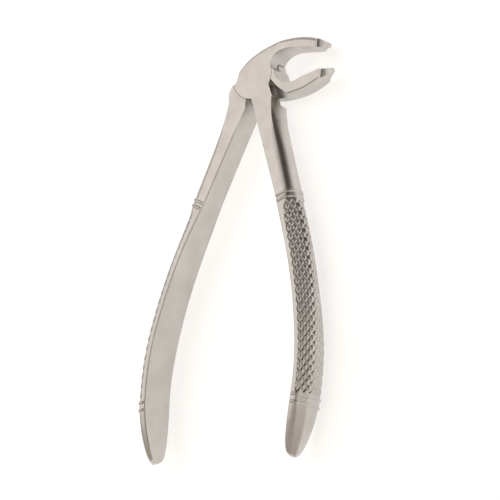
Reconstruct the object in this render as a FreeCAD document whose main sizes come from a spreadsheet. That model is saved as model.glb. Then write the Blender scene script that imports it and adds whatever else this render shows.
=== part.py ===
import FreeCAD, Part
import Sketcher
import math
import os

# Extraction forceps for lower molars: two forged halves crossed in a half-lap lock on a flush rivet.
# The instrument lies flat: +Z is the pivot axis, +Y points to the head, +X to the beaks' tips.
# Origin: pivot axis at the lock's rear face. All lengths are in millimetres, angles in degrees.

DIMENSIONS = [
    # lock
    ("lock_thickness", 9.0),
    ("lock_radius", 9.3),
    ("lock_clearance", 0.15),
    ("lap_gap", 0.04),
    ("rivet_radius", 3.0),
    ("rivet_running_gap", 0.04),
    ("rivet_edge_chamfer", 0.2),
    # handle: inner line of the handle, from the lock to the end
    ("handle_start_x", 0.9),
    ("handle_start_y", -10.0),
    ("handle_lean", 23.0),
    ("shank_run", 54.5),
    ("bow_radius", 187.0),
    ("bow_run", 41.5),
    ("hook_radius", 100.0),
    # the front half is cut back to its own layer from here to the lock
    ("ledge_y", -12.0),
    # beaks
    ("upper_edge_radius", 1.6),
    ("lower_edge_radius", 0.5),
    ("beak_root_half_width", 4.5),
    ("beak_half_width", 3.6),
    ("prong_half_width", 2.7),
    ("prong_tip_half_width", 0.55),
    ("upper_shoulder_x", 28.6),
    ("upper_tip_x", 33.4),
    ("lower_shoulder_x", 31.8),
    ("lower_tip_x", 36.4),
    ("tooth_pitch", 0.9),
    ("tooth_depth", 0.3),
]

# Handle sections: distance along the inner line, set back of the inner face, height of the
# straight side, height of the crown, width across (along Z), radius of the ridge. The shank's
# crown is one arc. The grip's is a gable with a rounded ridge.
SHANK_SECTIONS = [
    (3.0, 0.0, 9.0, 9.3, 9.0),
    (12.0, 0.0, 6.9, 8.9, 9.6),
    (26.0, 0.0, 6.2, 8.3, 9.9),
    (46.0, 0.0, 5.4, 7.5, 10.3),
]
GRIP_SECTIONS = [
    (46.0, 0.0, 4.6, 7.9, 10.9, 3.0),
    (50.0, 0.0, 3.4, 7.7, 11.6, 3.0),
    (62.0, 0.0, 2.8, 7.3, 12.9, 3.0),
    (82.0, 0.0, 2.8, 6.6, 13.8, 3.0),
    (102.0, 0.0, 2.8, 5.9, 14.6, 3.0),
    (123.0, 0.0, 2.8, 5.5, 14.7, 3.0),
]
CAP_SECTIONS = [
    (123.0, 0.0, 2.8, 5.4, 14.3, 3.0),
    (130.0, 0.0, 2.8, 5.4, 13.7, 3.0),
    (136.0, 0.1, 2.8, 5.3, 11.2, 2.6),
    (140.5, 0.5, 2.8, 5.0, 7.6, 2.0),
    (143.4, 1.3, 2.8, 4.4, 3.8, 1.2),
]
# Raised rings round the handle: distance along the inner line, then as above.
RING_SECTIONS = [
    (41.2, 0.5, 5.8, 8.4, 11.1),
    (43.9, 0.5, 5.7, 8.4, 11.2),
    (121.2, 0.5, 3.0, 6.1, 15.4, 3.0),
    (124.0, 0.5, 3.0, 6.0, 15.1, 3.0),
]
RING_LENGTH = 1.2
RING_ROUND = 0.4

doc = FreeCAD.newDocument("extraction_forceps")
sheet = doc.addObject("Spreadsheet::Sheet", "params")
for row, (alias, value) in enumerate(DIMENSIONS, start=1):
    sheet.set("A%d" % row, alias.replace("_", " "))
    sheet.set("B%d" % row, repr(value))
    sheet.setAlias("B%d" % row, alias)
section_row = len(DIMENSIONS) + 2
doc.recompute()


def size(alias):
    return float(getattr(sheet, alias))


def vec(point, z=0.0):
    return FreeCAD.Vector(point[0], point[1], z)


def polar(radius, degrees):
    angle = math.radians(degrees)
    return (radius * math.cos(angle), radius * math.sin(angle))


def handle_point(run):
    """Point and lean of the handle's inner line at a distance from its start: straight, bow, hook."""
    lean = math.radians(size("handle_lean"))
    x, y = size("handle_start_x"), size("handle_start_y")
    stretches = (
        (size("shank_run"), None),
        (size("bow_run"), size("bow_radius")),
        (1e9, size("hook_radius")),
    )
    for length, radius in stretches:
        part = min(run, length)
        turn = part / radius if radius else 0.0
        chord = 2.0 * radius * math.sin(turn / 2.0) if radius else part
        x += chord * math.sin(lean - turn / 2.0)
        y -= chord * math.cos(lean - turn / 2.0)
        lean -= turn
        run -= part
        if run <= 0.0:
            break
    return x, y, lean


def add_section_row(name, values):
    """Puts a section's own sizes in the sheet, so its sketch can be bound to them."""
    global section_row
    for word, value in zip(("set", "side", "crown", "width", "ridge"), values):
        alias = "%s_%s" % (name, word)
        sheet.set("A%d" % section_row, alias.replace("_", " "))
        sheet.set("B%d" % section_row, repr(value))
        sheet.setAlias("B%d" % section_row, alias)
        section_row += 1


def arc_crown(sketch, p, side, crown, half):
    """Outer side of a section as one arc from edge to edge, through the crown."""
    rise = crown - side
    centre = crown - (half * half + rise * rise) / (2 * rise)
    edge = FreeCAD.Vector(side, half, 0)
    other = FreeCAD.Vector(side, -half, 0)
    sketch.addGeometry(Part.Arc(other, FreeCAD.Vector(crown, 0, 0), edge), False)
    sketch.addConstraint(Sketcher.Constraint("Coincident", 1, 2, 3, 2))
    sketch.addConstraint(Sketcher.Constraint("Coincident", 3, 1, 2, 1))
    ends = (-1, 1, 3, 3) if centre > 0 else (3, 3, -1, 1)
    hub = sketch.addConstraint(Sketcher.Constraint("DistanceX", *ends, abs(centre)))
    rise_words = "(%scrown - %sside)" % (p, p)
    words = "%scrown - ((%swidth / 2)^2 + %s^2) / (2 * %s)" % (p, p, rise_words, rise_words)
    sketch.setExpression("Constraints[%d]" % hub, words if centre > 0 else "-(%s)" % words)


def gable_crown(sketch, p, side, crown, half, ridge):
    """Outer side of a section as two slopes that meet in a rounded ridge."""
    centre = FreeCAD.Vector(crown - ridge, 0, 0)
    reach = math.hypot(side - centre.x, half)
    angle = math.atan2(half, side - centre.x) - math.acos(ridge / reach)
    high = centre + FreeCAD.Vector(ridge * math.cos(angle), ridge * math.sin(angle), 0)
    low = FreeCAD.Vector(high.x, -high.y, 0)
    sketch.addGeometry(Part.Arc(low, FreeCAD.Vector(crown, 0, 0), high), False)
    sketch.addGeometry(Part.LineSegment(FreeCAD.Vector(side, half, 0), high), False)
    sketch.addGeometry(Part.LineSegment(low, FreeCAD.Vector(side, -half, 0)), False)
    sketch.addConstraint(Sketcher.Constraint("Coincident", 1, 2, 4, 1))
    sketch.addConstraint(Sketcher.Constraint("Coincident", 5, 2, 2, 1))
    sketch.addConstraint(Sketcher.Constraint("Tangent", 4, 2, 3, 2))
    sketch.addConstraint(Sketcher.Constraint("Tangent", 5, 1, 3, 1))
    sketch.addConstraint(Sketcher.Constraint("PointOnObject", 3, 3, -1))
    hub = sketch.addConstraint(Sketcher.Constraint("DistanceX", -1, 1, 3, 3, crown - ridge))
    round_ = sketch.addConstraint(Sketcher.Constraint("Radius", 3, ridge))
    sketch.setExpression("Constraints[%d]" % hub, "%scrown - %sridge" % (p, p))
    sketch.setExpression("Constraints[%d]" % round_, p + "ridge")


def handle_section(name, row):
    """Section across the handle: flat inner face, straight sides and a crowned outer side."""
    run, set_back, side, crown, width = row[:5]
    add_section_row(name, row[1:])
    doc.recompute()
    x, y, lean = handle_point(run)
    normal = FreeCAD.Vector(math.cos(lean), math.sin(lean), 0)
    along = FreeCAD.Vector(math.sin(lean), -math.cos(lean), 0)
    sketch = doc.addObject("Sketcher::SketchObject", name)
    turn = FreeCAD.Rotation(normal, FreeCAD.Vector(0, 0, 1), along, "ZXY")
    sketch.Placement = FreeCAD.Placement(FreeCAD.Vector(x, y, size("lock_thickness") / 2), turn)
    sketch.setExpression(".Placement.Base.z", "params.lock_thickness / 2")
    half = width / 2.0
    a, b = FreeCAD.Vector(set_back, -half, 0), FreeCAD.Vector(set_back, half, 0)
    c, d = FreeCAD.Vector(side, half, 0), FreeCAD.Vector(side, -half, 0)
    sketch.addGeometry(Part.LineSegment(a, b), False)
    sketch.addGeometry(Part.LineSegment(b, c), False)
    sketch.addGeometry(Part.LineSegment(d, a), False)
    sketch.addConstraint(Sketcher.Constraint("Coincident", 0, 2, 1, 1))
    sketch.addConstraint(Sketcher.Constraint("Coincident", 2, 2, 0, 1))
    sketch.addConstraint(Sketcher.Constraint("Horizontal", 1))
    sketch.addConstraint(Sketcher.Constraint("Horizontal", 2))
    sketch.addConstraint(Sketcher.Constraint("Symmetric", 0, 1, 0, 2, -1))
    wide = sketch.addConstraint(Sketcher.Constraint("DistanceY", 0, 1, 0, 2, width))
    back = sketch.addConstraint(Sketcher.Constraint("DistanceX", -1, 1, 0, 1, set_back))
    tall = sketch.addConstraint(Sketcher.Constraint("DistanceX", -1, 1, 1, 2, side))
    p = "params.%s_" % name
    sketch.setExpression("Constraints[%d]" % wide, p + "width")
    sketch.setExpression("Constraints[%d]" % back, p + "set")
    sketch.setExpression("Constraints[%d]" % tall, p + "side")
    if len(row) > 5:
        low = sketch.addConstraint(Sketcher.Constraint("DistanceX", -1, 1, 2, 1, side))
        sketch.setExpression("Constraints[%d]" % low, p + "side")
        gable_crown(sketch, p, side, crown, half, row[5])
    else:
        arc_crown(sketch, p, side, crown, half)
    return sketch


def loft(name, rows):
    """Solid through the handle sections of one stretch."""
    sections = [handle_section("%s_%d" % (name, i), row) for i, row in enumerate(rows)]
    body = doc.addObject("Part::Loft", name)
    body.Sections = sections
    body.Solid = True
    body.Ruled = False
    return body


def ring(name, row):
    """Raised ring: one handle section extruded along the handle, with its edges rounded over."""
    section = handle_section(name + "_section", row)
    bar = doc.addObject("Part::Extrusion", name + "_bar")
    bar.Base = section
    bar.DirMode = "Normal"
    bar.LengthFwd = RING_LENGTH
    bar.Solid = True
    doc.recompute()
    bead = doc.addObject("Part::Fillet", name)
    bead.Base = bar
    edges = [
        (i, RING_ROUND, RING_ROUND)
        for i, edge in enumerate(bar.Shape.Edges, start=1)
        if abs(edge.tangentAt(edge.FirstParameter).dot(bar.Dir)) < 0.5
    ]
    bead.Edges = edges
    return bead


def outline(name, pieces):
    """Closed sketch in the XY plane from lines, three-point arcs and smooth curves through points."""
    sketch = doc.addObject("Sketcher::SketchObject", name)
    for kind, points in pieces:
        places = [vec(p) for p in points]
        if kind == "line":
            sketch.addGeometry(Part.LineSegment(*places), False)
        elif kind == "arc":
            sketch.addGeometry(Part.Arc(*places), False)
        else:
            curve = Part.BSplineCurve()
            curve.interpolate(places)
            sketch.addGeometry(curve, False)
    return sketch


def slab(name, sketch, low, high):
    """Sketch extruded along Z between two heights given as sheet expressions."""
    bar = doc.addObject("Part::Extrusion", name)
    bar.Base = sketch
    bar.DirMode = "Custom"
    bar.Dir = FreeCAD.Vector(0, 0, 1)
    bar.Solid = True
    bar.setExpression("LengthFwd", high)
    bar.setExpression("LengthRev", "-(%s)" % low)
    return bar


def fuse(name, parts):
    joined = doc.addObject("Part::MultiFuse", name)
    joined.Shapes = parts
    joined.Refine = False
    return joined


def cut(name, base, tool):
    result = doc.addObject("Part::Cut", name)
    result.Base = base
    result.Tool = tool
    return result


def common(name, base, tool):
    result = doc.addObject("Part::Common", name)
    result.Base = base
    result.Tool = tool
    return result


def cylinder(name, radius, low, high):
    """Cylinder on the pivot axis, all three sizes as sheet expressions."""
    post = doc.addObject("Part::Cylinder", name)
    post.setExpression("Radius", radius)
    post.setExpression("Height", "(%s) - (%s)" % (high, low))
    post.setExpression(".Placement.Base.z", low)
    return post


def box(name, x0, x1, y0, y1, low, high):
    """Box between plain x and y limits, z limits as sheet expressions."""
    block = doc.addObject("Part::Box", name)
    block.Length = x1 - x0
    block.Width = y1 - y0
    block.setExpression("Height", "(%s) - (%s)" % (high, low))
    block.Placement.Base = FreeCAD.Vector(x0, y0, 0)
    block.setExpression(".Placement.Base.z", low)
    return block


TOP = "params.lock_thickness"
MID = "params.lock_thickness / 2"
FRONT_LAP = MID + " + params.lap_gap / 2"
REAR_LAP = MID + " - params.lap_gap / 2"
POCKET = "params.lock_radius + params.lock_clearance"

R = size("lock_radius")
root_run, root_height = SHANK_SECTIONS[0][0], SHANK_SECTIONS[0][3]
root_x, root_y, root_lean = handle_point(root_run)
root_in = (root_x, root_y)
root_out = (root_x + root_height * math.cos(root_lean), root_y + root_height * math.sin(root_lean))


def mirrored(point):
    return (-point[0], point[1])


def front_outline():
    """Lock plate and upper beak of the front half, seen along the pivot."""
    shoulder_top = polar(R, -161)
    shoulder_end = polar(R, -87)
    right_low = polar(R, -27)
    right_top = polar(R, 8)
    inner = [right_top, (8.3, 3.3), (8.4, 5.1), (9.7, 7.0), (13.0, 8.7), (18.5, 9.1)]
    inner += [(24.0, 8.6), (28.5, 8.5), (33.2, 8.7)]
    outer = [(33.4, 10.0), (29.6, 11.7), (25.0, 12.9), (19.5, 13.3), (13.5, 12.9), (7.0, 11.3)]
    outer += [(1.0, 8.9), (-4.2, 5.6), (-7.2, 2.5)]
    return [
        ("arc", [shoulder_top, polar(R, -125), shoulder_end]),
        ("line", [shoulder_end, root_in]),
        ("line", [root_in, root_out]),
        ("line", [root_out, right_low]),
        ("arc", [right_low, polar(R, -10), right_top]),
        ("curve", inner),
        ("line", [inner[-1], outer[0]]),
        ("curve", outer),
        ("line", [outer[-1], (-6.9, 1.3)]),
        ("arc", [(-6.9, 1.3), (-7.3, -0.8), (-7.9, -2.6)]),
        ("line", [(-7.9, -2.6), shoulder_top]),
    ]


def rear_outline():
    """Lock plate and lower beak of the rear half, seen along the pivot."""
    top_end = polar(R, 80)
    notch = polar(R, 15)
    inner = [(10.3, 0.9), (11.3, -1.4), (13.3, -3.3), (16.5, -4.4), (20.0, -4.2)]
    inner += [(24.0, -2.6), (28.0, -1.3), (32.0, -0.4), (35.6, 0.2)]
    outer = [(36.4, -0.8), (34.0, -2.6), (31.0, -4.5), (27.0, -6.5), (22.0, -8.1), (16.5, -8.9)]
    outer += [(11.5, -9.2), (7.0, -9.0)]
    heel_end = polar(R, -60)
    handle_top = polar(R, -104)
    return [
        ("line", [mirrored(root_out), (-10.9, -6.0)]),
        ("line", [(-10.9, -6.0), (-9.6, -3.5)]),
        ("line", [(-9.6, -3.5), (-7.9, -2.4)]),
        ("line", [(-7.9, -2.4), polar(7.4, 165)]),
        ("arc", [polar(7.4, 165), polar(7.4, 130), polar(7.4, 100)]),
        ("line", [polar(7.4, 100), top_end]),
        ("arc", [top_end, polar(R, 50), notch]),
        ("line", [notch, inner[0]]),
        ("curve", inner),
        ("line", [inner[-1], outer[0]]),
        ("curve", outer),
        ("line", [outer[-1], heel_end]),
        ("arc", [heel_end, polar(R, -80), handle_top]),
        ("line", [handle_top, mirrored(root_in)]),
        ("line", [mirrored(root_in), mirrored(root_out)]),
    ]


def side_envelope(name, shoulder, tip):
    """Width of a half along X, as a bar along Y: full at the lock, tapered beak, shouldered prong."""
    mid = size("lock_thickness") / 2
    root, wide = size("beak_root_half_width"), size("beak_half_width")
    prong, point = size("prong_half_width"), size("prong_tip_half_width")
    bar_low, bar_height = -14.0, 30.0
    handle_side_x, taper_start_x = -14.0, 12.0
    shoulder_slant, taper_hollow, prong_hollow, nose_rise = 0.25, 0.05, 0.3, 0.35

    start = (handle_side_x, root)
    taper_start = (taper_start_x, root)
    taper_middle = ((taper_start_x + shoulder) / 2, (root + wide) / 2 - taper_hollow)
    taper_end = (shoulder, wide)
    prong_start = (shoulder + shoulder_slant, prong)
    prong_end = (tip, point)
    prong_middle = ((prong_start[0] + tip) / 2, (prong + point) / 2 - prong_hollow)
    nose = (tip + nose_rise, 0.0)

    def front(place):
        return FreeCAD.Vector(place[0], bar_low, mid + place[1])

    def back(place):
        return FreeCAD.Vector(place[0], bar_low, mid - place[1])

    front_taper, back_taper = Part.BSplineCurve(), Part.BSplineCurve()
    front_taper.interpolate([front(taper_start), front(taper_middle), front(taper_end)])
    back_taper.interpolate([back(taper_end), back(taper_middle), back(taper_start)])
    edges = [
        Part.LineSegment(front(start), front(taper_start)),
        front_taper,
        Part.LineSegment(front(taper_end), front(prong_start)),
        Part.Arc(front(prong_start), front(prong_middle), front(prong_end)),
        Part.Arc(front(prong_end), front(nose), back(prong_end)),
        Part.Arc(back(prong_end), back(prong_middle), back(prong_start)),
        Part.LineSegment(back(prong_start), back(taper_end)),
        back_taper,
        Part.LineSegment(back(taper_start), back(start)),
        Part.LineSegment(back(start), front(start)),
    ]
    wire = Part.Wire([curve.toShape() for curve in edges])
    bar = doc.addObject("Part::Feature", name)
    bar.Shape = Part.Face(wire).extrude(FreeCAD.Vector(0, bar_height, 0))
    return bar


def teeth(name, start, end, count):
    """Fine cross grooves in a beak's inner face: a row of triangular bars along Z."""
    dx, dy = end[0] - start[0], end[1] - start[1]
    length = math.hypot(dx, dy)
    tx, ty = dx / length, dy / length
    depth, pitch = size("tooth_depth"), size("tooth_pitch")
    clear_of_face, backing = 0.15, 0.6

    def place(run, sink):
        return (start[0] + tx * run - ty * sink, start[1] + ty * run + tx * sink)

    points = [place(0.0, -backing), place(0.0, -clear_of_face)]
    for i in range(count):
        points.append(place((i + 0.5) * pitch, depth))
        points.append(place((i + 1.0) * pitch, -clear_of_face))
    points.append(place(count * pitch, -backing))
    pieces = [("line", [p, q]) for p, q in zip(points, points[1:] + points[:1])]
    return slab(name, outline(name + "_outline", pieces), "0 * " + TOP, TOP)


def rounded(name, base, radius, low_y, high_y):
    """Rounds a beak's two long outer edges, whose middles lie between the two heights."""
    doc.recompute()
    picked = []
    for number, edge in enumerate(base.Shape.Edges, start=1):
        middle = edge.valueAt((edge.FirstParameter + edge.LastParameter) / 2)
        if edge.Length > 15.0 and low_y < middle.y < high_y and middle.x > 10.0:
            picked.append((number, radius, radius))
    soft = doc.addObject("Part::Fillet", name)
    soft.Base = base
    soft.Edges = picked
    return soft


# handles: one set of solids for the right handle, mirrored for the left one
rings = [ring("ring_%d" % number, row) for number, row in enumerate(RING_SECTIONS)]
stretches = [
    fuse("ringed_shank", [loft("shank", SHANK_SECTIONS), rings[0], rings[1]]),
    fuse("ringed_grip", [loft("grip", GRIP_SECTIONS), rings[2]]),
    fuse("ringed_cap", [loft("cap", CAP_SECTIONS), rings[3]]),
]
right_handle = fuse("right_handle", stretches)
left_handle = doc.addObject("Part::Mirroring", "left_handle")
left_handle.Source = right_handle
left_handle.Normal = FreeCAD.Vector(1, 0, 0)

# front half: plate in the front layer, right handle, upper beak
front_sketch = outline("front_plate_outline", front_outline())
front_slab = slab("front_slab", front_sketch, "0 * " + TOP, TOP)
front_shape = side_envelope("front_envelope", size("upper_shoulder_x"), size("upper_tip_x"))
front_plate = common("front_plate", front_slab, front_shape)
front_teeth = teeth("front_teeth", (20.3, 8.95), (27.5, 8.5), 7)
front_soft = rounded("front_soft", front_plate, size("upper_edge_radius"), 11.0, 14.0)
front_toothed = cut("front_toothed", front_soft, front_teeth)
front_blank = fuse("front_blank", [front_toothed, right_handle])
front_relief = fuse(
    "front_relief",
    [
        cylinder("front_pocket", POCKET, "-1", FRONT_LAP),
        box("front_ledge", -1.0, 20.0, size("ledge_y"), 0.0, "-5", FRONT_LAP),
    ],
)
front_lapped = cut("front_lapped", front_blank, front_relief)
front_bore = cylinder("front_bore", "params.rivet_radius", "-1", TOP + " + 1")
front_half = cut("front_half", front_lapped, front_bore)

# rear half: plate in the rear layer, left handle, lower beak
rear_sketch = outline("rear_plate_outline", rear_outline())
rear_slab = slab("rear_slab", rear_sketch, "0 * " + TOP, TOP)
rear_shape = side_envelope("rear_envelope", size("lower_shoulder_x"), size("lower_tip_x"))
rear_plate = common("rear_plate", rear_slab, rear_shape)
rear_teeth = teeth("rear_teeth", (30.2, -0.8), (23.9, -2.7), 7)
rear_soft = rounded("rear_soft", rear_plate, size("lower_edge_radius"), -12.0, -7.0)
rear_toothed = cut("rear_toothed", rear_soft, rear_teeth)
rear_blank = fuse("rear_blank", [rear_toothed, left_handle])
slope = [polar(R, -14), (11.7, -4.8), (14.0, -6.6), (17.6, -8.6), (17.6, -14.0), (0.0, -14.0), (0.0, -3.0)]
slope_pieces = [("line", [p, q]) for p, q in zip(slope, slope[1:] + slope[:1])]
rear_relief = fuse(
    "rear_relief",
    [
        cylinder("rear_pocket", POCKET, REAR_LAP, TOP + " + 1"),
        slab("rear_slope", outline("rear_slope_outline", slope_pieces), REAR_LAP, TOP + " + 1"),
    ],
)
rear_lapped = cut("rear_lapped", rear_blank, rear_relief)
rear_bore = cylinder("rear_bore", "params.rivet_radius + params.rivet_running_gap", "-1", TOP + " + 1")
rear_half = cut("rear_half", rear_lapped, rear_bore)

# rivet: flush at both faces
rivet_post = cylinder("rivet_post", "params.rivet_radius", "0 * " + TOP, TOP)
doc.recompute()
pivot_rivet = doc.addObject("Part::Chamfer", "pivot_rivet")
pivot_rivet.Base = rivet_post
chamfer = size("rivet_edge_chamfer")
pivot_rivet.Edges = [
    (i, chamfer, chamfer)
    for i, edge in enumerate(rivet_post.Shape.Edges, start=1)
    if edge.Closed
]

doc.recompute()
os.makedirs("parts", exist_ok=True)
for item in doc.Objects:
    if "Invalid" in item.State or "Error" in item.State:
        raise RuntimeError("%s did not build: %s" % (item.Name, item.State))
    if hasattr(item, "Shape") and item.Shape.isNull():
        raise RuntimeError("%s has no shape" % item.Name)
for node in (front_half, rear_half, pivot_rivet):
    node.Label = node.Name
    shape = node.Shape
    if not shape.isValid() or len(shape.Solids) != 1:
        raise RuntimeError("%s is not one valid solid: %d" % (node.Name, len(shape.Solids)))
    shape.exportStep("parts/%s.step" % node.Name)
    bounds = shape.BoundBox
    print(node.Name, round(shape.Volume, 1), [round(v, 2) for v in (
        bounds.XMin, bounds.XMax, bounds.YMin, bounds.YMax, bounds.ZMin, bounds.ZMax)])
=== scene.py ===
import math

import bmesh
import bpy
import numpy as np
from mathutils import Matrix, Vector


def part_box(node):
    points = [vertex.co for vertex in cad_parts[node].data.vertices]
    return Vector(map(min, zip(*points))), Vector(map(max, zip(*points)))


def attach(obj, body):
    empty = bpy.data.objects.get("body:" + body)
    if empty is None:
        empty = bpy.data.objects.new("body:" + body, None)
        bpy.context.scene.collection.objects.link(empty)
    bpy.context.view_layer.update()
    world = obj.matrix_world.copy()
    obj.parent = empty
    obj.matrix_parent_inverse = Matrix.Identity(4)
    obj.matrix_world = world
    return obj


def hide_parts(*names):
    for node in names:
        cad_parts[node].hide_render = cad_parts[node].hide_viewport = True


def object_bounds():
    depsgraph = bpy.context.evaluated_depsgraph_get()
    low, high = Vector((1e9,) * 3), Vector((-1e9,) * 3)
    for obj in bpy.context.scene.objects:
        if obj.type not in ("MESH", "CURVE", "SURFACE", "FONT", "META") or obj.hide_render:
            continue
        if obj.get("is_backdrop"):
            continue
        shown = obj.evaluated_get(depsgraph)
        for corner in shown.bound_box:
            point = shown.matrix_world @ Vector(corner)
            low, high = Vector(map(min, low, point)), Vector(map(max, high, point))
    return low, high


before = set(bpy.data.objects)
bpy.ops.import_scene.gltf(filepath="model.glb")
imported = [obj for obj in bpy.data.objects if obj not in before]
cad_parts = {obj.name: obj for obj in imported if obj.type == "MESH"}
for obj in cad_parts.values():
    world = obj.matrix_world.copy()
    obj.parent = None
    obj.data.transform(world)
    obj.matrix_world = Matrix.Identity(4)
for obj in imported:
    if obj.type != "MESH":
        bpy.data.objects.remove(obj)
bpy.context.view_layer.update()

bl_info = {
    "name": "Extraction forceps",
    "version": (1, 0, 0),
    "blender": (4, 5, 0),
    "location": "3D View > Sidebar > Forceps",
    "description": "Finished surfaces of molar extraction forceps, built round their CAD frame",
    "category": "Add Mesh",
}

MM = 0.001
# body and the CAD node that it carries
HALVES = {"front": "front_half", "rear": "rear_half"}
# +1 for the half whose handle lies on +X, -1 for the other one
SIDE = {"front": 1.0, "rear": -1.0}
LOCK_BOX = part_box("pivot_rivet")
RIVET_RADIUS = (LOCK_BOX[1][0] - LOCK_BOX[0][0]) / 2
# edges this near the pivot belong to the rivet's bore and stay sharp
BORE_REACH = RIVET_RADIUS + 0.3 * MM
# height of the plane in which the two lock plates meet, in millimetres
LOCK_MIDDLE = (LOCK_BOX[0][2] + LOCK_BOX[1][2]) / 2 / MM


# ---------------------------------------------------------------- sizes and colours


class ForcepsSizes(bpy.types.PropertyGroup):
    """Sizes of the handles' finished surfaces. Lengths are in metres and angles in radians."""

    start_x: bpy.props.FloatProperty(
        name="Start X", description="Where the handle's inner line starts, across",
        default=0.9 * MM, unit="LENGTH")
    start_y: bpy.props.FloatProperty(
        name="Start Y", description="Where the handle's inner line starts, along",
        default=-10.0 * MM, unit="LENGTH")
    lean: bpy.props.FloatProperty(
        name="Lean", description="Angle of the straight shank from the middle plane",
        default=math.radians(23.0), subtype="ANGLE")
    shank_run: bpy.props.FloatProperty(
        name="Shank run", description="Straight length of the inner line",
        default=54.5 * MM, unit="LENGTH")
    bow_radius: bpy.props.FloatProperty(
        name="Bow radius", description="Radius of the grip's bow",
        default=187.0 * MM, unit="LENGTH")
    bow_run: bpy.props.FloatProperty(
        name="Bow run", description="Length of the grip's bow",
        default=41.5 * MM, unit="LENGTH")
    hook_radius: bpy.props.FloatProperty(
        name="Hook radius", description="Radius of the inward hook at the end",
        default=100.0 * MM, unit="LENGTH")
    join_run: bpy.props.FloatProperty(
        name="Join run", description="Where the head's surface is cut off along the inner line",
        default=12.0 * MM, unit="LENGTH")
    edge_bevel: bpy.props.FloatProperty(
        name="Edge bevel", description="Widest that the head's polished-over edges may be",
        default=0.35 * MM, unit="LENGTH")
    ring_height: bpy.props.FloatProperty(
        name="Ring height", description="Height of the raised rings",
        default=0.45 * MM, unit="LENGTH")


class KnurlSizes(bpy.types.PropertyGroup):
    """Sizes of the knurl: crossed V grooves that leave raised diamonds."""

    pitch_along: bpy.props.FloatProperty(
        name="Pitch along", description="Diamond length along the handle",
        default=3.6 * MM, unit="LENGTH")
    pitch_across: bpy.props.FloatProperty(
        name="Pitch across", description="Diamond width across the handle",
        default=2.5 * MM, unit="LENGTH")
    depth: bpy.props.FloatProperty(
        name="Depth", description="Depth of a groove", default=0.45 * MM, unit="LENGTH")
    groove_share: bpy.props.FloatProperty(
        name="Groove share", description="Share of the pitch that a groove takes",
        default=0.5, min=0.1, max=1.0)
    start: bpy.props.FloatProperty(
        name="Start", description="Where the knurl starts along the inner line",
        default=46.4 * MM, unit="LENGTH")
    end: bpy.props.FloatProperty(
        name="End", description="Where the knurl ends along the inner line",
        default=121.0 * MM, unit="LENGTH")


class FinishColours(bpy.types.PropertyGroup):
    """Colours of the steel and of the floor."""

    steel: bpy.props.StringProperty(
        name="Steel", description="Satin stainless steel", default="#CBC7C3")
    # dark steel: faint clouds of tone, and painted shade in the knurl's grooves
    groove: bpy.props.StringProperty(
        name="Groove", description="Dark skin left in the knurl's grooves", default="#6A645F")
    rivet: bpy.props.StringProperty(
        name="Rivet", description="Ground rivet face", default="#CDC8C4")
    floor: bpy.props.StringProperty(
        name="Floor", description="Plain pale floor", default="#FBFBFB")


# ---------------------------------------------------------------- small helpers


def linear(hex_colour):
    """sRGB hex value as a linear RGBA tuple."""
    parts = [int(hex_colour[i : i + 2], 16) / 255.0 for i in (1, 3, 5)]
    rgb = [p / 12.92 if p <= 0.04045 else ((p + 0.055) / 1.055) ** 2.4 for p in parts]
    return (*rgb, 1.0)


def add_node(tree, kind, settings=(), inputs=(), links=()):
    """Adds one shader node, with its settings, its input values and its links from sockets."""
    node = tree.nodes.new(kind)
    for name, value in settings:
        setattr(node, name, value)
    for name, value in inputs:
        node.inputs[name].default_value = value
    for name, source in links:
        tree.links.new(source, node.inputs[name])
    return node


def link_object(name, mesh):
    """Puts a mesh in the scene as an object at the origin."""
    made = bpy.data.objects.new(name, mesh)
    bpy.context.scene.collection.objects.link(made)
    return made


def smooth_step(x):
    """0 to 1 with flat ends: 3x^2 - 2x^3, held outside the range."""
    x = np.clip(x, 0.0, 1.0)
    return x * x * (3.0 - 2.0 * x)


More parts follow.
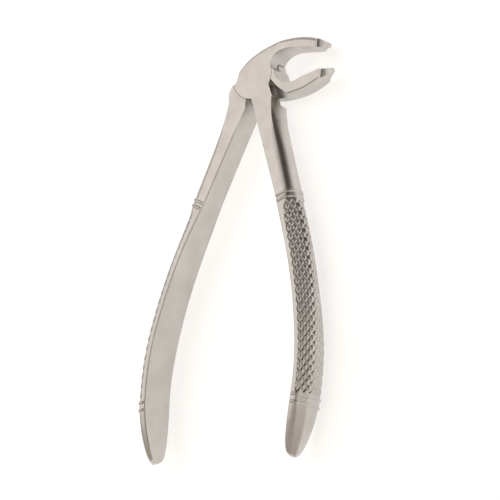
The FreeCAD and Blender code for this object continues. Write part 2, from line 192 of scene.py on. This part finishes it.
def tube_mesh(name, points, along, across):
    """Closed tube from a grid of points (rows along it, columns round it), with one vertex as the
    pole at each end. The UV map holds the grid's along and across lengths in metres, so grain
    follows the surface."""
    rows, columns = points.shape[:2]
    poles = np.stack([points[0].mean(axis=0), points[-1].mean(axis=0)])
    vertices = np.concatenate([points.reshape(-1, 3), poles])
    i, j = np.meshgrid(np.arange(rows - 1), np.arange(columns), indexing="ij")
    k = (j + 1) % columns
    here, ahead = i * columns, (i + 1) * columns
    quads = np.stack([here + j, here + k, ahead + k, ahead + j], -1).reshape(-1, 4)
    ring = np.arange(columns)
    after = (ring + 1) % columns
    first_pole = np.full(columns, rows * columns)
    last_pole = np.full(columns, rows * columns + 1)
    last_row = (rows - 1) * columns
    start_fan = np.stack([first_pole, after, ring], -1)
    end_fan = np.stack([last_pole, last_row + ring, last_row + after], -1)
    corners = np.concatenate([quads.ravel(), start_fan.ravel(), end_fan.ravel()])
    sides = np.concatenate([np.full(len(quads), 4), np.full(2 * columns, 3)])
    starts = np.concatenate([[0], np.cumsum(sides)[:-1]])
    mesh = bpy.data.meshes.new(name)
    mesh.vertices.add(len(vertices))
    mesh.vertices.foreach_set("co", vertices.astype(np.float32).ravel())
    mesh.loops.add(len(corners))
    mesh.loops.foreach_set("vertex_index", corners.astype(np.int32))
    mesh.polygons.add(len(sides))
    mesh.polygons.foreach_set("loop_start", starts.astype(np.int32))
    mesh.polygons.foreach_set("loop_total", sides.astype(np.int32))
    # one column more, so that the last quads don't run back to the first column's length
    girth = np.concatenate([across, 2 * across[:, -1:] - across[:, -2:-1]], axis=1)
    quad_u = np.stack([along[i], along[i], along[i + 1], along[i + 1]], -1)
    quad_v = np.stack(
        [girth[i, j], girth[i, j + 1], girth[i + 1, j + 1], girth[i + 1, j]], -1)
    fan_u = np.repeat(along[[0, -1]], 3 * columns)
    u = np.concatenate([quad_u.ravel(), fan_u])
    v = np.concatenate([quad_v.ravel(), np.zeros(6 * columns)])
    layer = mesh.uv_layers.new(name="grain")
    layer.data.foreach_set("uv", np.stack([u, v], -1).astype(np.float32).ravel())
    mesh.update(calc_edges=True)
    mesh.validate()
    return mesh


# Degrees past which an edge is drawn sharp on each kind of piece, past which an edge of the head
# is bevelled, and up to which neighbouring faces of the head are one flat face
GRIP_SHARP, HEAD_SHARP, RIVET_SHARP = 55, 28, 30
BEVEL_ANGLE, FLAT_ANGLE = 35, 0.6


# ---------------------------------------------------------------- handles


def inner_line(run, sizes):
    """Point and lean of the handle's inner line at each distance along it, in millimetres:
    straight, then an arc of the bow radius, then one of the hook radius. An arc of length p and
    radius r from a lean a ends r(cos(a - p/r) - cos a) across and r(sin a - sin(a - p/r)) down."""
    shank, bow = sizes.shank_run / MM, sizes.bow_run / MM
    bow_radius, hook_radius = sizes.bow_radius / MM, sizes.hook_radius / MM
    straight = np.minimum(run, shank)
    in_bow = np.clip(run - shank, 0.0, bow)
    in_hook = np.maximum(run - shank - bow, 0.0)
    a0 = sizes.lean
    a1 = a0 - in_bow / bow_radius
    a2 = a1 - in_hook / hook_radius
    x = sizes.start_x / MM + straight * math.sin(a0)
    x = x + bow_radius * (np.cos(a1) - np.cos(a0)) + hook_radius * (np.cos(a2) - np.cos(a1))
    y = sizes.start_y / MM - straight * math.cos(a0)
    y = y - bow_radius * (np.sin(a0) - np.sin(a1)) - hook_radius * (np.sin(a1) - np.sin(a2))
    return x, y, a2


# Handle sections in millimetres: distance along the inner line, height of the inner face, height
# of the straight side, height of the unrounded ridge, width across, then how far back from each
# corner its rounding starts: inner corner, side corner, ridge.
SECTIONS = np.array([
    (12.0, 0.0, 6.90, 10.1, 9.60, 0.30, 0.30, 4.4),
    (16.0, 0.0, 6.65, 9.75, 9.70, 0.45, 1.40, 4.1),
    (26.0, 0.0, 6.20, 9.40, 9.90, 0.50, 2.20, 3.6),
    (41.0, 0.0, 5.60, 8.70, 10.20, 0.50, 2.20, 3.6),
    (46.0, 0.0, 4.60, 8.40, 10.90, 0.55, 1.20, 3.2),
    (50.0, 0.0, 3.40, 8.90, 11.60, 0.60, 1.10, 3.4),
    (62.0, 0.0, 2.80, 8.40, 12.90, 0.60, 0.90, 3.4),
    (82.0, 0.0, 2.80, 7.50, 13.80, 0.60, 0.90, 3.4),
    (102.0, 0.0, 2.80, 6.60, 14.60, 0.60, 0.90, 3.4),
    (123.0, 0.0, 2.80, 6.10, 14.60, 0.65, 1.00, 3.2),
    (130.0, 0.0, 2.80, 6.00, 13.70, 0.90, 1.50, 2.6),
    (136.0, 0.1, 2.75, 5.80, 11.70, 1.10, 1.60, 2.2),
    (140.5, 0.5, 2.70, 5.40, 9.00, 1.10, 1.40, 1.8),
    (142.8, 1.0, 2.65, 4.80, 6.00, 0.80, 0.90, 1.3),
    (143.8, 1.8, 2.60, 3.80, 2.40, 0.35, 0.35, 0.5),
])
# Middles of the raised rings along the inner line, and half of a ring's width, in millimetres
RINGS = (42.6, 44.8, 121.8, 124.6)
RING_HALF_WIDTH = 0.6
# A ring starts this high above the inner face and takes this much more height to stand in full
RING_START, RING_FADE = 0.35, 0.7
# The knurl runs this far past the slopes, over the side corners, and fades over these lengths at
# its long borders and at its ends
KNURL_OVERHANG, SIDE_FADE, END_FADE = 1.9, 0.6, 0.5
# The groove attribute's value in a lone groove, which gets no painted shade; where two grooves
# cross it is 1
LONE_GROOVE_TONE = 0.35
# Grid steps round a section: inner face, straight side, slope, small corners, ridge
FACE_STEPS, SIDE_STEPS, SLOPE_STEPS = 22, 8, 46
CORNER_STEPS, RIDGE_STEPS = 8, 14
# Where the rows stand close for the upper and the lower rings, and the row spacing in each zone
RING_ZONES = ((41.0, 46.0), (121.0, 126.0))
RING_STEP, KNURL_STEP = 0.12, 0.26
SHANK_ROWS, CAP_ROWS = 50, 60


def run_stations():
    """Distances along the handle: even steps, small at the rings and the knurl, and then down the
    cap by the sine of an even quarter turn, which closes in on its end."""
    start, end = SECTIONS[0, 0], SECTIONS[-1, 0]
    (upper, upper_end), (lower, lower_end) = RING_ZONES
    shank = np.linspace(start, upper, SHANK_ROWS, endpoint=False)
    upper_rings = np.arange(upper, upper_end, RING_STEP)
    knurl = np.arange(upper_end, lower, KNURL_STEP)
    lower_rings = np.arange(lower, lower_end, RING_STEP)
    cap = lower_end + (end - lower_end) * np.sin(np.linspace(0.0, math.pi / 2, CAP_ROWS))
    return np.concatenate([shank, upper_rings, knurl, lower_rings, cap])


def smooth_rows(run):
    """Section values at each distance: a smooth curve through the table's rows that never
    overshoots. On each span it is a cubic whose end slopes are the harmonic mean of the slopes on
    both sides of the row."""
    x, y = SECTIONS[:, 0], SECTIONS[:, 1:]
    slope = np.diff(y, axis=0) / np.diff(x)[:, None]
    product = slope[1:] * slope[:-1]
    total = np.where(np.abs(slope[1:] + slope[:-1]) > 1e-9, slope[1:] + slope[:-1], 1.0)
    inner = np.where(product > 0, 2 * product / total, 0.0)
    ends = np.concatenate([slope[:1], inner, slope[-1:]])
    span = np.clip(np.searchsorted(x, run, side="right") - 1, 0, len(x) - 2)
    h = (x[span + 1] - x[span])[:, None]
    f = (run[:, None] - x[span, None]) / h
    rise = f * f * (3 - 2 * f)
    return (y[span] * (1 - rise) + y[span + 1] * rise
            + h * (f * (1 - f) ** 2 * ends[span] - f * f * (1 - f) * ends[span + 1]))


def section_columns(run):
    """Outline of each section as (height t, width w) columns: a five-cornered outline (inner face,
    straight sides, two slopes that meet in a ridge) whose corners are cut back and closed with a
    parabola through the two cuts a and b, p = (1-u)^2 a + 2u(1-u) corner + u^2 b."""
    low, side, peak, width, inner_cut, side_cut, ridge_cut = smooth_rows(run).T
    half = width / 2
    corners = np.stack([
        np.stack([low, -half], -1), np.stack([low, half], -1), np.stack([side, half], -1),
        np.stack([peak, 0 * half], -1), np.stack([side, -half], -1)])
    cuts = np.stack([inner_cut, inner_cut, side_cut, ridge_cut, side_cut])[..., None]
    straight_steps = (FACE_STEPS, SIDE_STEPS, SLOPE_STEPS, SLOPE_STEPS, SIDE_STEPS)
    round_steps = (CORNER_STEPS, CORNER_STEPS, CORNER_STEPS, RIDGE_STEPS, CORNER_STEPS)
    ahead = np.roll(corners, -1, axis=0) - corners
    ahead = ahead / np.linalg.norm(ahead, axis=-1, keepdims=True)
    leave = corners + ahead * cuts
    reach = corners - np.roll(ahead, 1, axis=0) * cuts
    pieces = []
    for n, (straight, turn) in enumerate(zip(straight_steps, round_steps)):
        u = np.linspace(0.0, 1.0, turn + 1)[:-1, None, None]
        pieces.append((1 - u) ** 2 * reach[n] + 2 * u * (1 - u) * corners[n] + u * u * leave[n])
        v = np.linspace(0.0, 1.0, straight + 1)[:-1, None, None]
        pieces.append((1 - v) * leave[n] + v * reach[(n + 1) % 5])
    outline = np.concatenate(pieces)
    return outline[..., 0].T, outline[..., 1].T


def handle_surface(sizes, knurl):
    """Finished grip of the right handle. Each point is the inner line's point, plus its section's
    height along the line's normal and its width along Z, pushed out at the rings by a half-round
    and in at the knurl by crossed V grooves: groove(p) = 1 - |frac(p) - 1/2| * 2 / share, on the
    phases along / pitch +- across / pitch. Also gives the lengths along and round the surface, and
    the groove attribute, which says where painted shade darkens the knurl's hollows."""
    run = run_stations()
    t, w = section_columns(run)
    dt = np.roll(t, -1, 1) - np.roll(t, 1, 1)
    dw = np.roll(w, -1, 1) - np.roll(w, 1, 1)
    length = np.hypot(dt, dw) + 1e-9
    out_t, out_w = -dw / length, dt / length
    across = np.cumsum(np.hypot(t - np.roll(t, 1, 1), w - np.roll(w, 1, 1)), axis=1)
    first_slope = 3 * CORNER_STEPS + FACE_STEPS + SIDE_STEPS
    ridge = first_slope + SLOPE_STEPS + RIDGE_STEPS // 2
    from_ridge = across - across[:, ridge : ridge + 1]
    slope_length = (across[:, ridge] - across[:, first_slope])[:, None]
    along = run[:, None]
    push = np.zeros_like(t)
    for ring in RINGS:
        bulge = np.sqrt(np.clip(1.0 - ((along - ring) / RING_HALF_WIDTH) ** 2, 0.0, 1.0))
        push = np.maximum(push, bulge * sizes.ring_height / MM)
    push = push * smooth_step((t - RING_START) / RING_FADE)
    field = smooth_step((slope_length - np.abs(from_ridge) + KNURL_OVERHANG) / SIDE_FADE)
    field = field * smooth_step((along - knurl.start / MM) / END_FADE)
    field = field * smooth_step((knurl.end / MM - along) / END_FADE)
    lengthwise, crosswise = along * MM / knurl.pitch_along, from_ridge * MM / knurl.pitch_across
    grooves = []
    for phase in (lengthwise + crosswise, lengthwise - crosswise):
        off_middle = np.abs(phase - np.floor(phase) - 0.5) * 2.0
        grooves.append(np.clip(1.0 - off_middle / knurl.groove_share, 0.0, 1.0))
    deepest, crossing = np.maximum(*grooves), np.sqrt(grooves[0] * grooves[1])
    push = push - field * deepest * knurl.depth / MM
    # painted shade for the knurl's hollows: faint in a lone groove, darkest where grooves cross
    groove_shade = field * (LONE_GROOVE_TONE * deepest + (1.0 - LONE_GROOVE_TONE) * crossing)
    t, w = t + out_t * push, w + out_w * push
    x, y, lean = (v[:, None] for v in inner_line(run, sizes))
    px, py, pz = x + t * np.cos(lean), y + t * np.sin(lean), LOCK_MIDDLE + w
    points = np.stack([px, py, pz], -1) * MM
    return points, run * MM, across * MM, groove_shade


def grip_piece(name, body, material, sizes, knurl):
    """One handle's grip: the right handle's surface, mirrored in X for the rear half."""
    points, along, across, groove_shade = handle_surface(sizes, knurl)
    points[..., 0] *= SIDE[body]
    if SIDE[body] > 0:
        # columns the other way round, so that the faces point outwards
        points, across, groove_shade = points[:, ::-1], across[:, ::-1], groove_shade[:, ::-1]
    mesh = tube_mesh(name, points, along, across)
    # the groove attribute carries the painted shade of the knurl's hollows
    groove = mesh.attributes.new("groove", "FLOAT", "POINT")
    on_poles = [0.0, 0.0]
    groove.data.foreach_set(
        "value", np.concatenate([groove_shade.ravel(), on_poles]).astype(np.float32))
    mesh.materials.append(material)
    mesh.shade_smooth()
    mesh.set_sharp_from_angle(angle=math.radians(GRIP_SHARP))
    made = link_object(name, mesh)
    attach(made, body)


# ---------------------------------------------------------------- head and rivet


# Metres within which vertices are one, and within which a vertex lies on the cut
SAME_PLACE, ON_CUT = 2e-6, 1e-6
# An edge's middle this near the cut plane belongs to the cut
CUT_REACH = 0.05 * MM
# How long the ground faces of the rivet's ends are drawn in, and its grid
RIVET_GRIND = 0.04 * MM
RIVET_ROWS, RIVET_COLUMNS = 9, 96


def head_piece(name, body, material, sizes):
    """The forged head of one half with the root of its shank: a copy of the CAD half, merged, cut
    off where the grip's surface begins, with flat faces joined up and a bevel on its sharp edges.
    The bevel's overlap clamp holds it to hundredths of a millimetre on this mesh."""
    node = HALVES[body]
    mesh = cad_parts[node].data.copy()
    mesh.name = name
    mesh.materials.clear()
    x, y, lean = (float(v[0]) for v in inner_line(np.array([sizes.join_run / MM]), sizes))
    form = bmesh.new()
    form.from_mesh(mesh)
    bmesh.ops.remove_doubles(form, verts=form.verts, dist=SAME_PLACE)
    everything = list(form.verts) + list(form.edges) + list(form.faces)
    point = Vector((x * SIDE[body], y, 0)) * MM
    away = Vector((math.sin(lean) * SIDE[body], -math.cos(lean), 0))
    cut = bmesh.ops.bisect_plane(
        form, geom=everything, dist=ON_CUT, plane_co=point, plane_no=away, clear_outer=True)
    rim = [e for e in cut["geom_cut"] if isinstance(e, bmesh.types.BMEdge)]
    bmesh.ops.holes_fill(form, edges=rim, sides=0)
    bmesh.ops.dissolve_limit(
        form, angle_limit=math.radians(FLAT_ANGLE), verts=form.verts, edges=form.edges)
    weight = form.edges.layers.float.new("bevel_weight_edge")
    for edge in form.edges:
        middle = (edge.verts[0].co + edge.verts[1].co) / 2
        at_cut = abs((middle - point).dot(away)) < CUT_REACH
        in_bore = math.hypot(middle.x, middle.y) < BORE_REACH
        sharp = len(edge.link_faces) == 2 and edge.calc_face_angle() > math.radians(BEVEL_ANGLE)
        if sharp and not at_cut and not in_bore:
            edge[weight] = 1.0
    form.to_mesh(mesh)
    form.free()
    mesh.materials.append(material)
    mesh.shade_smooth()
    mesh.set_sharp_from_angle(angle=math.radians(HEAD_SHARP))
    made = link_object(name, mesh)
    bevel = made.modifiers.new("polished_edges", "BEVEL")
    bevel.width = sizes.edge_bevel
    bevel.segments = 3
    bevel.limit_method = "WEIGHT"
    bevel.harden_normals = True
    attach(made, body)
    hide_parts(node)


def rivet_piece(name, material):
    """The pivot rivet: a circle carried along the pivot axis, its radius drawn in by a hair at both
    ends, where it was ground flush with the lock."""
    low, high = LOCK_BOX[0][2], LOCK_BOX[1][2]
    body_rows = np.linspace(low + RIVET_GRIND, high - RIVET_GRIND, RIVET_ROWS)
    z = np.concatenate([[low], body_rows, [high]])
    radius = np.full(len(z), RIVET_RADIUS)
    radius[[0, -1]] -= RIVET_GRIND
    turn = np.linspace(0.0, 2 * math.pi, RIVET_COLUMNS, endpoint=False)
    radius, height, turn = np.broadcast_arrays(radius[:, None], z[:, None], turn)
    points = np.stack([radius * np.cos(turn), radius * np.sin(turn), height], -1)
    mesh = tube_mesh(name, points, z - low, RIVET_RADIUS * turn)
    mesh.materials.append(material)
    mesh.shade_smooth()
    mesh.set_sharp_from_angle(angle=math.radians(RIVET_SHARP))
    made = link_object(name, mesh)
    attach(made, "front")
    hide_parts("pivot_rivet")


# ---------------------------------------------------------------- materials


# Grain as cells in a metre, along each axis of the coordinates that it is drawn on: on the grips
# 0.35 mm across and 11 mm along the surface, on the head 0.5 mm across and 4 mm along Y
GRIP_GRAIN = (90.0, 1.0 / (0.35 * MM), 1.0)
HEAD_GRAIN = (1.0 / (0.5 * MM), 260.0, 1.0 / (0.5 * MM))
# Size of the soft clouds in the steel's tone, in metres
CLOUD_SIZE = 9 * MM


def satin_steel(name, colour, cloud_and_shade_colour, knurled):
    """Stainless steel, forged, ground and brushed to a satin: a warm light grey whose fine grain
    along the handle draws highlights out sideways, with faint clouds in its tone. The real grain is
    finer; it is drawn this coarse so that it shows. The grooves of a knurl get painted shade."""
    mat = bpy.data.materials.new(name)
    mat.use_nodes = True
    tree = mat.node_tree
    tree.nodes.clear()
    out = add_node(tree, "ShaderNodeOutputMaterial")
    place = add_node(tree, "ShaderNodeTexCoord")
    source = place.outputs["UV" if knurled else "Object"]
    stretched = add_node(
        tree, "ShaderNodeMapping", inputs=[("Scale", GRIP_GRAIN if knurled else HEAD_GRAIN)],
        links=[("Vector", source)])
    grain = add_node(
        tree, "ShaderNodeTexNoise", inputs=[("Scale", 1.0), ("Detail", 3.0), ("Roughness", 0.6)],
        links=[("Vector", stretched.outputs[0])])
    cloud = add_node(
        tree, "ShaderNodeTexNoise", inputs=[("Scale", 1.0 / CLOUD_SIZE), ("Detail", 2.0)],
        links=[("Vector", source)])
    rough = add_node(
        tree, "ShaderNodeMapRange",
        inputs=[("From Min", 0.25), ("From Max", 0.75), ("To Min", 0.27), ("To Max", 0.39)],
        links=[("Value", grain.outputs["Fac"])])
    tone = add_node(
        tree, "ShaderNodeMapRange",
        inputs=[("From Min", 0.3), ("From Max", 0.7), ("To Min", 0.0), ("To Max", 0.16)],
        links=[("Value", cloud.outputs["Fac"])])
    clouded = add_node(
        tree, "ShaderNodeMix", settings=[("data_type", "RGBA")],
        inputs=[("A", linear(colour)), ("B", linear(cloud_and_shade_colour))],
        links=[("Factor", tone.outputs[0])])
    colour_out = clouded.outputs["Result"]
    if knurled:
        groove = add_node(tree, "ShaderNodeAttribute", settings=[("attribute_name", "groove")])
        # painted shade: a lone groove stays unshaded, and a crossing is darkest
        groove_shade = add_node(
            tree, "ShaderNodeMapRange",
            inputs=[("From Min", LONE_GROOVE_TONE), ("From Max", 1.0), ("To Min", 0.0),
                    ("To Max", 0.7)],
            links=[("Value", groove.outputs["Fac"])])
        darkened = add_node(
            tree, "ShaderNodeMix", settings=[("data_type", "RGBA")],
            inputs=[("B", linear(cloud_and_shade_colour))],
            links=[("Factor", groove_shade.outputs[0]), ("A", colour_out)])
        colour_out = darkened.outputs["Result"]
    bump = add_node(
        tree, "ShaderNodeBump", inputs=[("Strength", 0.12), ("Distance", 0.02 * MM)],
        links=[("Height", grain.outputs["Fac"])])
    shader = add_node(
        tree, "ShaderNodeBsdfPrincipled", inputs=[("Metallic", 1.0)],
        links=[("Base Color", colour_out), ("Roughness", rough.outputs[0]),
               ("Normal", bump.outputs[0])])
    tree.links.new(shader.outputs[0], out.inputs[0])
    return mat


def floor_paint(colour):
    """Matt white board: pale, even and without a sheen, so the steel stands out against it. It
    glows a little, which keeps it white and the shadows on it faint."""
    mat = bpy.data.materials.new("matt_white_board")
    mat.use_nodes = True
    shader = mat.node_tree.nodes["Principled BSDF"]
    shader.inputs["Base Color"].default_value = linear(colour)
    shader.inputs["Roughness"].default_value = 0.9
    shader.inputs["Emission Color"].default_value = (1, 1, 1, 1)
    shader.inputs["Emission Strength"].default_value = FLOOR_GLOW
    return mat


def shared_steel(name, colours, knurled):
    """The named steel, made the first time that it is asked for."""
    return bpy.data.materials.get(name) or satin_steel(
        name, colours.steel, colours.groove, knurled)


# ---------------------------------------------------------------- stage


# Half the floor's side in metres, how far it lies under the lowest point, and its own glow
FLOOR_REACH, FLOOR_DROP, FLOOR_GLOW = 3.0, 0.05 * MM, 0.55
# Softboxes: place and side in metres, and power in watts
SOFTBOXES = {
    "left_softbox": ((-0.75, 0.25, 0.85), 0.85, 1.75),
    "overhead_softbox": ((0.13, 0.2, 1.25), 0.7, 1.5),
}
# Where the softboxes aim, near the middle of the instrument
LIGHT_AIM = (0.0, -0.065, 0.0)
# Colours of the tent and of its dark side, the direction of that side, and the cosines of the
# angles from it at which the dark begins and is full
TENT, DARK = "#BEB6AD", "#3A3633"
DARK_SIDE = (0.52, 0.68, 0.49)
DARK_BEGINS, DARK_FULL = 0.72, 0.92
# Camera: sensor and lens in millimetres, its right and up directions, its place over the lock's
# middle plane and how far it sees, in metres
SENSOR, LENS = 36.0, 284.4
CAMERA_RIGHT = (0.76695, 0.09361, -0.63485)
CAMERA_UP = (0.07118, 0.97079, 0.22914)
CAMERA_PLACE = (0.94908, -0.39514, 1.09425)
CAMERA_REACH = 10.0


def lay_floor(colour):
    """One square just under the instrument."""
    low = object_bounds()[0][2] - FLOOR_DROP
    signs = ((-1, -1), (1, -1), (1, 1), (-1, 1))
    mesh = bpy.data.meshes.new("floor")
    corners = [(x * FLOOR_REACH, y * FLOOR_REACH, low) for x, y in signs]
    mesh.from_pydata(corners, [], [(0, 1, 2, 3)])
    mesh.materials.append(floor_paint(colour))
    link_object("floor", mesh)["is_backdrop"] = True


def studio_world():
    """Pale tent all round with one dark side, far to the upper right, that draws a dark band along
    the rounded shanks."""
    world = bpy.data.worlds.new("studio")
    world.use_nodes = True
    tree = world.node_tree
    place = add_node(tree, "ShaderNodeTexCoord")
    toward = add_node(
        tree, "ShaderNodeVectorMath", settings=[("operation", "DOT_PRODUCT")],
        inputs=[(1, Vector(DARK_SIDE).normalized())], links=[(0, place.outputs["Generated"])])
    shade = add_node(
        tree, "ShaderNodeMapRange", settings=[("interpolation_type", "SMOOTHSTEP")],
        inputs=[("From Min", DARK_BEGINS), ("From Max", DARK_FULL)],
        links=[("Value", toward.outputs["Value"])])
    tone = add_node(
        tree, "ShaderNodeMix", settings=[("data_type", "RGBA")],
        inputs=[("A", linear(TENT)), ("B", linear(DARK))], links=[("Factor", shade.outputs[0])])
    tree.links.new(tone.outputs["Result"], tree.nodes["Background"].inputs["Color"])
    return world


def soft_light(name, place, side, power):
    """Square softbox aimed at the middle of the instrument."""
    data = bpy.data.lights.new(name, "AREA")
    data.shape = "RECTANGLE"
    data.size = data.size_y = side
    data.energy = power
    light = bpy.data.objects.new(name, data)
    bpy.context.scene.collection.objects.link(light)
    light.location = place
    toward = Vector(LIGHT_AIM) - Vector(place)
    light.rotation_euler = toward.to_track_quat("-Z", "Y").to_euler()
    light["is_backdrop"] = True


def place_camera(scene):
    """Long lens from the right and a little towards the handles' ends, 42 degrees off the pivot
    axis."""
    data = bpy.data.cameras.new("camera")
    data.sensor_width = SENSOR
    data.lens = LENS
    data.clip_end = CAMERA_REACH
    camera = bpy.data.objects.new("camera", data)
    scene.collection.objects.link(camera)
    right, up = Vector(CAMERA_RIGHT), Vector(CAMERA_UP)
    turn = Matrix((right, up, right.cross(up))).transposed().to_4x4()
    turn.translation = Vector(CAMERA_PLACE) + Vector((0.0, 0.0, LOCK_MIDDLE * MM))
    camera.matrix_world = turn
    scene.camera = camera


# ---------------------------------------------------------------- operators


class FORCEPS_OT_half(bpy.types.Operator):
    """Build one half: its forged head and shank, and its knurled grip"""

    bl_idname = "forceps.half"
    bl_label = "Half"

    body: bpy.props.EnumProperty(
        name="Half", description="Which half to build",
        items=[("front", "Front", "Front plate, right handle"),
               ("rear", "Rear", "Rear plate, left handle")],
        default="front")

    def execute(self, context):
        scene = context.scene
        sizes, colours = scene.forceps_sizes, scene.forceps_colours
        head_steel = shared_steel("satin_ground_stainless", colours, knurled=False)
        grip_steel = shared_steel("knurled_stainless", colours, knurled=True)
        head_piece(self.body + "_head", self.body, head_steel, sizes)
        grip_piece(self.body + "_grip", self.body, grip_steel, sizes, scene.forceps_knurl)
        return {"FINISHED"}


class FORCEPS_OT_rivet(bpy.types.Operator):
    """Finish the pivot rivet, ground flush with the lock"""

    bl_idname = "forceps.rivet"
    bl_label = "Rivet"

    def execute(self, context):
        colours = context.scene.forceps_colours
        steel = satin_steel(
            "ground_rivet_stainless", colours.rivet, colours.groove, knurled=False)
        rivet_piece("rivet_finished", steel)
        return {"FINISHED"}


class FORCEPS_OT_stage(bpy.types.Operator):
    """Lay the pale floor, hang the soft lights and place the camera"""

    bl_idname = "forceps.stage"
    bl_label = "Stage"

    def execute(self, context):
        scene = context.scene
        lay_floor(scene.forceps_colours.floor)
        for name, (place, side, power) in SOFTBOXES.items():
            soft_light(name, place, side, power)
        scene.world = studio_world()
        # the standard transform leaves a white floor white
        scene.view_settings.view_transform = "Standard"
        place_camera(scene)
        return {"FINISHED"}


class FORCEPS_PT_panel(bpy.types.Panel):
    """Lists the forceps' pieces and sizes in the 3D view's sidebar."""

    bl_label = "Forceps"
    bl_idname = "FORCEPS_PT_panel"
    bl_space_type = "VIEW_3D"
    bl_region_type = "UI"
    bl_category = "Forceps"

    def draw(self, context):
        layout = self.layout
        for half in HALVES:
            layout.operator("forceps.half", text=half.title() + " half").body = half
        layout.operator("forceps.rivet")
        layout.operator("forceps.stage")
        scene = context.scene
        for group in (scene.forceps_sizes, scene.forceps_knurl, scene.forceps_colours):
            for name in group.__annotations__:
                layout.prop(group, name)


CLASSES = (ForcepsSizes, KnurlSizes, FinishColours, FORCEPS_OT_half, FORCEPS_OT_rivet,
           FORCEPS_OT_stage, FORCEPS_PT_panel)


def register():
    for kind in CLASSES:
        bpy.utils.register_class(kind)
    bpy.types.Scene.forceps_sizes = bpy.props.PointerProperty(type=ForcepsSizes)
    bpy.types.Scene.forceps_knurl = bpy.props.PointerProperty(type=KnurlSizes)
    bpy.types.Scene.forceps_colours = bpy.props.PointerProperty(type=FinishColours)


def unregister():
    del bpy.types.Scene.forceps_sizes
    del bpy.types.Scene.forceps_knurl
    del bpy.types.Scene.forceps_colours
    for kind in reversed(CLASSES):
        bpy.utils.unregister_class(kind)


def main():
    register()
    bpy.ops.forceps.half(body="front")
    bpy.ops.forceps.half(body="rear")
    bpy.ops.forceps.rivet()
    bpy.ops.forceps.stage()


if __name__ == "__main__":
    main()
